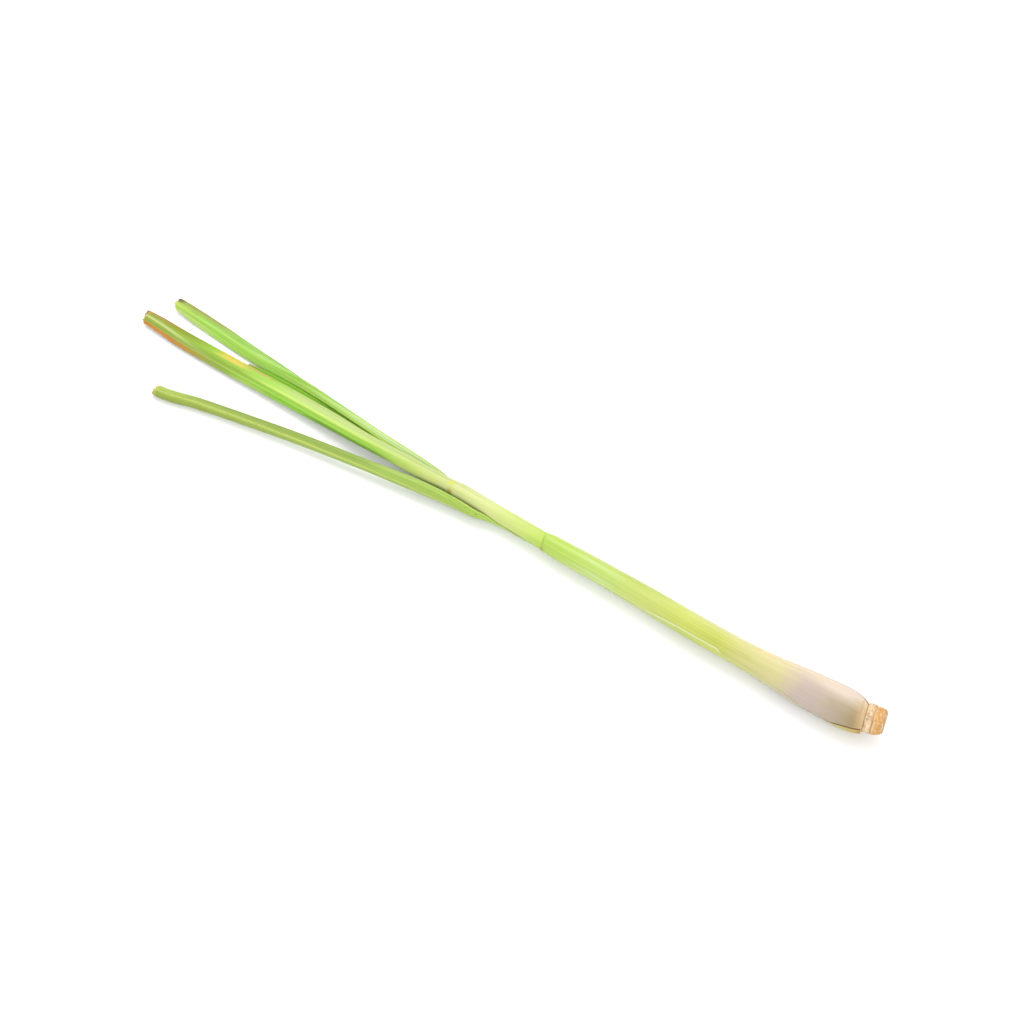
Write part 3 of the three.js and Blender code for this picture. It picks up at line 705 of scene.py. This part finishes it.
class Look:
    """A material, the colour painted on it so far, and short ways of joining its nodes."""

    def __init__(self, name):
        self.material = bpy.data.materials.new(name)
        self.material.use_nodes = True
        self.tree = self.material.node_tree
        self.shader = self.tree.nodes["Principled BSDF"]
        self.colour = None
        self.read = {}

    def feed(self, socket, value):
        """A value is another socket, a number, a colour as on screen or one in linear numbers."""
        if isinstance(value, bpy.types.NodeSocket):
            self.tree.links.new(value, socket)
        elif isinstance(value, str):
            socket.default_value = (*tone(value), 1)
        elif isinstance(value, tuple):
            socket.default_value = (*value, 1)
        else:
            socket.default_value = value

    def fact(self, name):
        if name not in self.read:
            node = self.tree.nodes.new("ShaderNodeAttribute")
            node.attribute_name = name
            self.read[name] = node.outputs["Fac"]
        return self.read[name]

    def facts(self, names):
        return [self.fact(name) for name in names.split()]

    def math(self, operation, *values):
        node = self.tree.nodes.new("ShaderNodeMath")
        node.operation = operation
        for socket, value in zip(node.inputs, values):
            self.feed(socket, value)
        return node.outputs[0]

    def times(self, *values):
        result = values[0]
        for value in values[1:]:
            result = self.math("MULTIPLY", result, value)
        return result

    def spread(self, value, low, high, to_low=0.0, to_high=1.0, smooth=True):
        node = self.tree.nodes.new("ShaderNodeMapRange")
        node.interpolation_type = "SMOOTHSTEP" if smooth else "LINEAR"
        for key, given in (("Value", value), ("From Min", low), ("From Max", high),
                           ("To Min", to_low), ("To Max", to_high)):
            self.feed(node.inputs[key], given)
        return node.outputs["Result"]

    def within(self, value, low, high, soft):
        rising = self.spread(value, low - soft, low + soft)
        return self.times(rising, self.spread(value, high + soft, high - soft))

    def spot(self, value, middle, size):
        off = self.math("ABSOLUTE", self.math("SUBTRACT", value, middle))
        return self.spread(off, size, 0)

    def ramp(self, value, stops):
        low, high = stops[0][0], stops[-1][0]
        node = self.tree.nodes.new("ShaderNodeValToRGB")
        node.color_ramp.interpolation = "EASE"
        elements = node.color_ramp.elements
        while len(elements) < len(stops):
            elements.new(0.5)
        for element, (place, _) in zip(elements, stops):
            element.position = (place - low) / (high - low)
        for element, (_, colour) in zip(elements, stops):
            element.color = (*tone(colour), 1)
        self.feed(node.inputs["Fac"], self.spread(value, low, high, smooth=False))
        return node.outputs["Color"]

    def mix(self, factor, a, b, kind="MIX"):
        node = self.tree.nodes.new("ShaderNodeMix")
        node.data_type, node.blend_type = "RGBA", kind
        for socket, value in ((node.inputs[0], factor), (node.inputs[6], a), (node.inputs[7], b)):
            self.feed(socket, value)
        return node.outputs[2]

    def paint(self, colour, *masks):
        """Lay a colour over what is there, where the masks, multiplied together, let it."""
        self.colour = self.mix(self.times(*masks), self.colour, colour)

    def shade(self, colour, *masks):
        """The same, with what is there multiplied by the colour."""
        mask = self.times(*masks)
        self.paint(self.mix(1.0, self.colour, colour, "MULTIPLY"), mask)

    def finish(self, shade, roughness):
        """Hand the painted colour, scaled to suit the light, to the shader."""
        base = self.mix(1.0, self.colour, shade, "MULTIPLY")
        self.feed(self.shader.inputs["Base Color"], base)
        self.feed(self.shader.inputs["Roughness"], roughness)

    def grain(self, length, width, seed, detail=2.0, along="along", across="across"):
        """Noise whose grains are so many mm long and wide on the leaf."""
        place = self.tree.nodes.new("ShaderNodeCombineXYZ")
        self.feed(place.inputs[0], self.math("DIVIDE", self.fact(along), length))
        self.feed(place.inputs[1], self.math("DIVIDE", self.fact(across), width))
        place.inputs[2].default_value = seed
        node = self.tree.nodes.new("ShaderNodeTexNoise")
        node.inputs["Scale"].default_value = 1
        node.inputs["Detail"].default_value = detail
        self.feed(node.inputs["Vector"], place.outputs[0])
        return node.outputs["Fac"]

    def patches(self, grain, low, high):
        """Where a grain is strong."""
        return self.spread(self.grain(*grain), low, high)

    def bump(self, height, strength, distance_mm):
        node = self.tree.nodes.new("ShaderNodeBump")
        node.inputs["Strength"].default_value = strength
        node.inputs["Distance"].default_value = distance_mm * MM
        self.feed(node.inputs["Height"], height)
        self.feed(self.shader.inputs["Normal"], node.outputs[0])


def leaf_skin(name, seed, colours, shade=(0.66, 0.66, 0.66), rough=(0.38, 0.52)):
    """What every leaf shares: streaks and mottle over its own colours, veins and a waxy gloss."""
    look = Look(name)
    colours(look)
    streak = look.grain(90, 0.9, seed)
    fine = look.grain(240, 0.42, seed + 1, 1)
    mottle = look.grain(16, 2.6, seed + 2)
    veined = look.spread(look.fact("along"), 112, 150, 1, 0.35)
    veined = look.times(veined, look.spread(look.fact("along"), 0, 30, 1, 0.7))
    look.shade("#c4dd8e", look.spread(streak, 0.42, 0.7, 0, 0.3), veined)
    look.shade((1.16, 1.13, 1.2), look.spread(streak, 0.48, 0.25), veined)
    look.shade("#d6dca0", look.spread(mottle, 0.52, 0.8, 0, 0.25))
    look.shade("#b8cc88", look.spread(fine, 0.3, 0.7, 0, 0.16), veined)
    look.finish(shade, look.spread(mottle, 0.3, 0.7, *rough))
    for key, value in (("Specular IOR Level", 0.25), ("Subsurface Weight", 0.18),
                       ("Subsurface Radius", (1.0, 1.2, 0.5)), ("Subsurface Scale", 0.8 * MM)):
        look.shader.inputs[key].default_value = value
    look.bump(look.math("ADD", fine, look.times(streak, 0.6)), 0.35, 0.06)
    return look.material


def lower_colours(look):
    x, turn, share, tip = look.facts("along turn share tip")
    # Painted light and shade: a lit ramp for the upper side and a dim one for the lower side, mixed
    # round the stalk by turn. The dim side also carries the bulb's real lilac tint.
    lit = look.ramp(x, [
        (-200, "#b2c95e"), (-150, "#a2be52"), (-60, "#acca62"), (-15, "#bdd674"), (12, "#c4de74"),
        (31, "#c0da64"), (54, "#c5da70"), (74, "#c0d062"), (104, "#d6df80"), (120, "#d8dc92"),
        (134, "#eae3ac"), (146, "#e9dba8"), (158, "#e8d8b4"), (168, "#e7d7c0"), (188, "#e4d3c6"),
        (194, "#e2d1c4"), (197, "#e2ceb4"), (200, "#e2c494"),
    ])
    dim = look.ramp(x, [
        (-200, "#a2ba50"), (-60, "#a4c25c"), (12, "#b6d660"), (31, "#bcda66"), (58, "#c4dc7a"),
        (84, "#ccd97a"), (104, "#ccd76c"), (122, "#c7cf64"), (138, "#d3d18a"), (148, "#d6d094"),
        (155, "#d8d09c"), (162, "#d3c6ac"), (169, "#cabcae"), (178, "#c4b6a5"), (185, "#bcad9a"),
        (190, "#b6a78e"), (195, "#b09b75"), (197.5, "#c8ae84"), (200, "#dcc296"),
    ])
    around = look.math("COSINE", look.math("RADIANS", look.math("SUBTRACT", turn, 10)))
    wobble = look.math("MULTIPLY_ADD", look.grain(20, 6, 3.3), 0.5, -0.25)
    around = look.math("ADD", around, look.spread(x, 158, 186, 0, 0.36))
    lower_side = look.spread(look.math("ADD", around, wobble), 0.85, -0.1)
    look.colour = look.mix(lower_side, lit, dim)
    # the yellow-green of the stem runs out into the white foot in streaks
    runs = look.times(look.patches((34, 1.5, 4.6), 0.46, 0.62), look.within(x, 140, 162, 7))
    look.paint("#d6d694", runs, 0.45)
    lilac = look.times(look.patches((18, 5, 2.7), 0.4, 0.62), look.within(x, 160, 182, 5))
    look.paint("#c9b6bb", lilac, lower_side, 0.4)
    # painted shade, a little yellower, on the lower side just before the stub
    look.shade((0.9, 0.9, 0.84), look.spot(turn, 152, 60), look.within(x, 191, 197, 5))
    # a painted bluish highlight, in paler, bluer patches up the stem
    look.paint("#c8eab4", look.patches((26, 4, 8.1), 0.5, 0.72), look.within(x, 34, 64, 8), 0.5)
    # a pale lower edge above the old sheath, and a painted highlight along the top where the skin
    # turns away
    look.paint("#e6f2a4", look.spot(turn, 176, 20), look.within(x, 36, 100, 10), 0.55)
    look.paint("#eaf0b0", look.spot(turn, 40, 20), look.within(x, 28, 128, 10), 0.25)
    # the blade: pale midrib, olive lower part with brown specks, brown line at the upper margin
    blade = look.spread(x, 0, -40)
    look.paint("#d2df7c", look.spot(look.fact("across"), -0.3, 0.7), blade, 0.55)
    look.paint("#97a546", look.spread(share, 0.15, 0.6), look.spread(x, -90, -170), 0.65)
    look.shade("#b4b48c", look.spread(share, 0.0, -0.5), look.within(x, -180, -75, 12), 0.4)
    look.paint("#5d4724", look.spread(share, -0.72, -0.95), look.within(x, -186, -164, 6), 0.85)
    speck = look.times(look.patches((1.6, 0.7, 5.5, 1), 0.66, 0.72), look.within(x, -200, -120, 20))
    look.paint("#7d6b2c", speck, 0.5)
    dots = look.times(look.patches((1.3, 0.8, 6.5, 1), 0.6, 0.68), look.within(x, -24, -13, 2))
    look.paint("#4f5a2a", dots, look.spread(share, 0, -0.5), 0.75)
    # the collar: a faint line, and a yellow-brown spot at its lower end
    look.paint("#b9c052", look.spot(x, 22, 1.2), look.spread(turn, 60, 130), 0.15)
    look.paint("#b4a232", look.spot(x, 22, 2), look.spot(turn, 178, 22), 0.75)
    # brown at the cut tip, and a soft uneven line just before the stub
    look.paint("#dccf7c", look.spread(tip, 2.4, 0.3, 0, 0.8))
    look.paint("#a98d4a", look.spread(tip, 0.7, 0.1, 0, 0.6))
    uneven = look.times(look.grain(26, 1.2, 9.1, 2, "turn", "along"), 2.2)
    worn = look.math("ADD", x, uneven)
    look.paint("#c09658", look.spot(worn, 198.0, 0.9), 0.35)


def middle_colours(look):
    x, share, across, tip = look.facts("along share across tip")
    look.colour = look.ramp(x, [
        (-237, "#a4b440"), (-222, "#a0b83c"), (-205, "#9cbe3c"), (-190, "#a0cc46"),
        (-160, "#a8d658"), (-120, "#b2de66"), (-85, "#bce26e"), (-62, "#d0e68a"), (-46, "#dce6a0"),
        (-34, "#e4e8b2"), (-14, "#e2e9b2"), (4, "#dae79c"), (24, "#c8e274"), (60, "#dfe8b0"),
        (190, "#f2ecd8"),
    ])
    # the near wing is the fresher green, with painted shade along its lower edge, where it curls
    # under
    look.paint("#94d648", look.spread(share, 0.1, 0.45), look.within(x, -165, -75, 20), 0.6)
    look.paint("#6c9e2a", look.spread(share, 0.5, 0.78), look.within(x, -122, -72, 10), 0.85)
    # the upper wing is pale and striped by the collar, olive and rusty towards the tip
    look.paint("#cbe090", look.spread(share, 0.04, -0.3), look.within(x, -135, -48, 16), 0.5)
    cream = look.times(look.patches((300, 0.8, 3.7, 0), 0.47, 0.6), look.within(x, -140, -38, 14))
    look.paint("#e6ecba", cream, look.spread(share, 0.1, -0.2), 0.6)
    look.paint("#949a24", look.spread(share, -0.1, -0.5), look.spread(x, -185, -212), 0.7)
    rust = look.times(look.spread(share, -0.45, -0.9), look.spread(x, -208, -220))
    look.paint("#bd7a2e", rust, look.patches((5, 1, 2.2), 0.25, 0.5), 0.9)
    for colour, reach, shares, blotch, strength in (
        ("#efcf62", (-187, -168, 5), (-0.08, -0.35), ((6, 1.4, 3.1), 0.3, 0.5), 0.9),
        ("#dcb478", (-170, -152, 5), (-0.45, -0.8), ((7, 1, 6.1), 0.3, 0.5), 0.8),
        ("#a07c72", (-164, -140, 6), (-0.72, -0.95), ((7, 1.2, 4.1), 0.3, 0.55), 0.7),
    ):
        place = look.times(look.within(x, *reach), look.spread(share, *shares))
        look.paint(colour, place, look.patches(*blotch), strength)
    look.paint("#8f5a32", look.within(x, -142, -118, 5), look.spread(share, -0.84, -0.97), 0.75)
    # the near wing by the tip: greyer, with a painted highlight along the fold beside the midrib,
    # and orange-brown at its lower margin
    look.paint("#a0b660", look.spread(share, 0.06, 0.3), look.spread(x, -150, -195), 0.85)
    drift = look.math("SUBTRACT", share, look.spread(x, -232, -190, -0.08, 0.22))
    white = look.times(look.within(drift, -0.11, 0.11, 0.07), look.spread(x, -184, -216, 0, 0.75))
    look.paint("#ced8a6", white)
    look.paint("#d68a40", look.spread(share, 0.4, 0.64), look.spread(x, -178, -218), 0.9)
    # painted shade over the upper wing, which faces the light, to take down how lit it looks
    look.shade((0.84, 0.85, 0.9), look.spread(share, 0.1, -0.5), look.within(x, -135, -15, 12))
    # pale stripes over the stronger veins, and the midrib
    stripes = look.patches((400, 1.1, 7.3, 0), 0.5, 0.62)
    look.paint("#d2ec8e", stripes, look.spread(x, -36, -60), look.spread(x, -215, -150), 0.35)
    midrib = look.times(look.spot(across, 0.1, 0.5), look.spread(x, -52, -80))
    look.paint("#dcee90", midrib, look.spread(x, -145, -180, 1, 0.2), 0.8)
    # a painted shadow line, dark green, along the midrib towards the tip
    look.paint("#86a526", look.spot(across, 0.1, 1.6), look.within(x, -204, -160, 12), 0.55)
    look.paint("#c0de7c", look.spread(share, 0.4, 0.7), look.within(x, -172, -148, 6), 0.6)
    # the collar: yellow above, brown at the lower margin
    look.paint("#e8e04c", look.spot(x, -34, 2.6), look.spot(share, -0.2, 0.4), 0.85)
    look.paint("#b8a028", look.spot(x, -33, 2.6), look.spot(share, 0.5, 0.4), 0.85)
    look.paint("#d0b064", look.spread(tip, 2.4, 0.4, 0, 0.7))
    look.paint("#96683a", look.spread(tip, 0.8, 0.1, 0, 0.7))


def top_colours(look):
    x, share, across, tip = look.facts("along share across tip")
    look.colour = look.ramp(x, [
        (-232, "#b8ce62"), (-222, "#aed466"), (-205, "#a4da66"), (-160, "#a0da66"),
        (-130, "#a8da66"), (-60, "#b8dc6c"), (-30, "#c2e08c"), (0, "#d4e6a0"), (192, "#f0ecd8"),
    ])
    look.paint("#a6e466", look.spread(share, 0.06, 0.4), look.spread(x, -135, -160), 0.5)
    look.paint("#a6a04e", look.spread(share, -0.3, -0.75), look.within(x, -224, -192, 8), 0.75)
    look.paint("#75642e", look.spread(share, -0.86, -0.97), look.within(x, -196, -146, 5), 0.8)
    stripes = look.patches((400, 0.9, 2.9, 0), 0.5, 0.64)
    look.paint("#cdeb90", stripes, look.spread(x, -40, -90), 0.35)
    # painted shade over the upper part of the blade, which faces the light; in the middle stretch
    # it also takes out blue
    look.shade((0.78, 0.76, 0.8), look.spread(share, 0.05, -0.5), look.spread(x, -135, -165))
    look.shade((0.58, 0.68, 0.42), look.spread(share, 0.3, 0.08), look.within(x, -155, -100, 14))
    look.shade((0.82, 0.82, 0.86), look.spread(share, 0.45, 0.15), look.spread(x, -110, -85))
    # a painted blue-white highlight beside the midrib, then over the upper part of the near wing
    look.paint("#c2e6a8", look.spot(across, -1.0, 1.2), look.within(x, -172, -140, 8), 0.6)
    blue_highlight = look.times(look.within(share, 0.12, 0.55, 0.1), look.spread(x, -150, -75))
    look.paint("#c4e2b6", blue_highlight, look.spread(x, -30, -45), 0.8)
    look.paint("#c8e67c", look.spot(across, 0, 0.55), look.spread(x, -100, -140), 0.2)
    look.shade((0.86, 0.86, 0.82), look.spot(across, -1.0, 1.3), look.within(x, -222, -160, 14))
    look.paint("#cbe2a4", look.spread(share, 0.28, 0.55), look.within(x, -228, -202, 6), 0.55)
    burn = look.times(look.spread(share, -0.3, -0.6), look.spread(x, -222, -226))
    look.paint("#65502a", burn, look.patches((3, 0.8, 1.7), 0.25, 0.45), 0.9)
    look.paint("#e6d488", look.spread(tip, 1.8, -1.0), look.spread(share, -0.5, -0.1), 0.8)


def heart_colours(look):
    x, tip = look.facts("along tip")
    look.colour = look.ramp(x, [
        (-171, "#8cb43a"), (-160, "#84c02a"), (-90, "#8ac42c"), (-40, "#b0d868"), (0, "#d6e6a8"),
        (192, "#f2eeda"),
    ])
    look.paint("#c09a48", look.spread(tip, 9, 1), look.patches((3, 0.9, 1.9), 0.42, 0.6), 0.75)
    look.paint("#b0903e", look.spread(tip, 1.5, 0.2, 0, 0.7))


def dry_colours(look):
    x, margin, share = look.facts("along margin share")
    look.colour = look.ramp(x, [
        (62, "#d0de84"), (90, "#ccd97a"), (118, "#ccd670"), (138, "#d0d27c"), (150, "#d4cf9c"),
        (162, "#d0c3ae"), (176, "#cbbfa4"), (184, "#c8be8a"), (190, "#cabd74"), (199, "#c8ac66"),
    ])
    look.paint("#d8d49a", look.patches((26, 2.2, 4.4), 0.45, 0.7), 0.3)
    near = look.spread(share, -0.2, -0.8)
    look.paint("#eef4bc", look.spread(margin, 1.3, 0.3), look.spread(x, 128, 124), near, 0.85)
    look.paint("#e6ecb8", look.spread(margin, 0.9, 0.1), look.within(x, 128, 156, 3), near, 0.5)
    look.paint("#6e4a14", look.spread(margin, 0.9, 0.1), look.spread(x, 182, 190), near, 0.95)
    look.paint("#a67c42", look.spread(x, 196.8, 198.6, 0, 0.6))


def stub_look(name):
    look = Look(name)
    x, radius, scar, face = look.facts("along radius scar face")
    bands = look.grain(0.5, 24, 1.3, 3, "along", "turn")
    blots = look.grain(1.5, 16, 6.3, 3, "along", "turn")
    look.colour = look.ramp(x, [
        (199.4, "#d8b684"), (200.2, "#e6cba2"), (201.6, "#ecd6b2"), (202.7, "#dcb680"),
        (203.1, "#b07c40"), (203.7, "#e8caa0"), (204.6, "#e0ac62"), (206.4, "#d8a25a"),
        (207.6, "#cda06a"), (208.2, "#b99a78"),
    ])
    look.paint("#c98a3e", look.spread(bands, 0.45, 0.7, 0, 0.55))
    look.paint("#f2e0c4", look.spread(bands, 0.48, 0.28, 0, 0.6))
    look.paint("#b0743a", look.spread(blots, 0.56, 0.72, 0, 0.5))
    look.paint("#f0dcc0", look.spread(blots, 0.42, 0.3, 0, 0.45))
    look.paint("#85604c", look.spread(scar, 0.25, 1, 0, 0.7))
    layers = look.math("SINE", look.math("MULTIPLY", radius, 9))
    cut = look.mix(look.spread(layers, -0.4, 0.6, 0, 0.5), "#d8b98a", "#b48a56")
    dots = look.grain(1, 1, 2.0, 4, "turn", "radius")
    cut = look.mix(look.spread(dots, 0.5, 0.7, 0, 0.5), cut, "#8f6a40")
    look.paint(cut, look.spread(face, 0.02, 0.12))
    look.finish((0.68, 0.68, 0.68), look.spread(bands, 0.3, 0.7, 0.6, 0.85))
    look.bump(look.math("ADD", bands, blots), 0.5, 0.12)
    return look.material


# How each piece is built, which node it replaces and what dresses it.
PIECES = {
    "lower_leaf": (
        lower_leaf, "leaf_lower",
        lambda name: leaf_skin(name, 11, lower_colours, (0.68, 0.66, 0.64)),
    ),
    "middle_leaf": (
        middle_leaf, "leaf_middle",
        lambda name: leaf_skin(name, 23, middle_colours, (0.64, 0.64, 0.5)),
    ),
    "top_leaf": (
        top_leaf, "leaf_top", lambda name: leaf_skin(name, 37, top_colours, (0.76, 0.71, 0.56)),
    ),
    "heart_leaf": (
        heart_leaf, "leaf_heart", lambda name: leaf_skin(name, 41, heart_colours, (0.7, 0.7, 0.4)),
    ),
    "dry_sheath": (
        old_sheath, "old_sheath", lambda name: leaf_skin(name, 53, dry_colours, rough=(0.5, 0.65)),
    ),
    "stub": (root_stub, "root_stub", stub_look),
}
for name, (build, node, dress) in PIECES.items():
    piece = build()
    piece.data.materials.append(dress(name))
    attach(piece, "root")
    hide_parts(node)


# -------- floor and light
FLOOR_HALF, FLOOR_DROP = 6, 0.0002
WORLD_LIGHT, KEY_WATTS, FILL_WATTS = 1.2, 33, 22


def make_floor():
    mesh = bpy.data.meshes.new("floor")
    corners = [(FLOOR_HALF * x, FLOOR_HALF * y, 0) for x, y in ((-1, -1), (1, -1), (1, 1), (-1, 1))]
    mesh.from_pydata(corners, [], [(0, 1, 2, 3)])
    floor = bpy.data.objects.new("floor", mesh)
    bpy.context.collection.objects.link(floor)
    floor.location.z = -FLOOR_DROP
    look = Look("floor")
    look.feed(look.shader.inputs["Base Color"], (0.8, 0.8, 0.805))
    look.shader.inputs["Roughness"].default_value = 0.6
    look.shader.inputs["Specular IOR Level"].default_value = 0.1
    mesh.materials.append(look.material)


def area_light(name, place, size, watts, colour):
    """A square light that faces the origin."""
    data = bpy.data.lights.new(name, "AREA")
    data.energy, data.size, data.color = watts, size, colour
    light = bpy.data.objects.new(name, data)
    bpy.context.collection.objects.link(light)
    light.location = place
    light.rotation_mode = "QUATERNION"
    light.rotation_quaternion = (-Vector(place)).to_track_quat("-Z", "Y")


def make_light():
    world = bpy.data.worlds.new("studio")
    world.use_nodes = True
    background = world.node_tree.nodes["Background"].inputs
    background["Color"].default_value = (1, 1, 1, 1)
    background["Strength"].default_value = WORLD_LIGHT
    bpy.context.scene.world = world
    area_light("key", (-0.75, 1.05, 1.9), 1.6, KEY_WATTS, (1, 0.985, 0.96))
    area_light("fill", (1.3, -1.2, 1.2), 2.0, FILL_WATTS, (0.97, 0.98, 1))


make_floor()
make_light()
bpy.context.scene.view_settings.view_transform = "Standard"
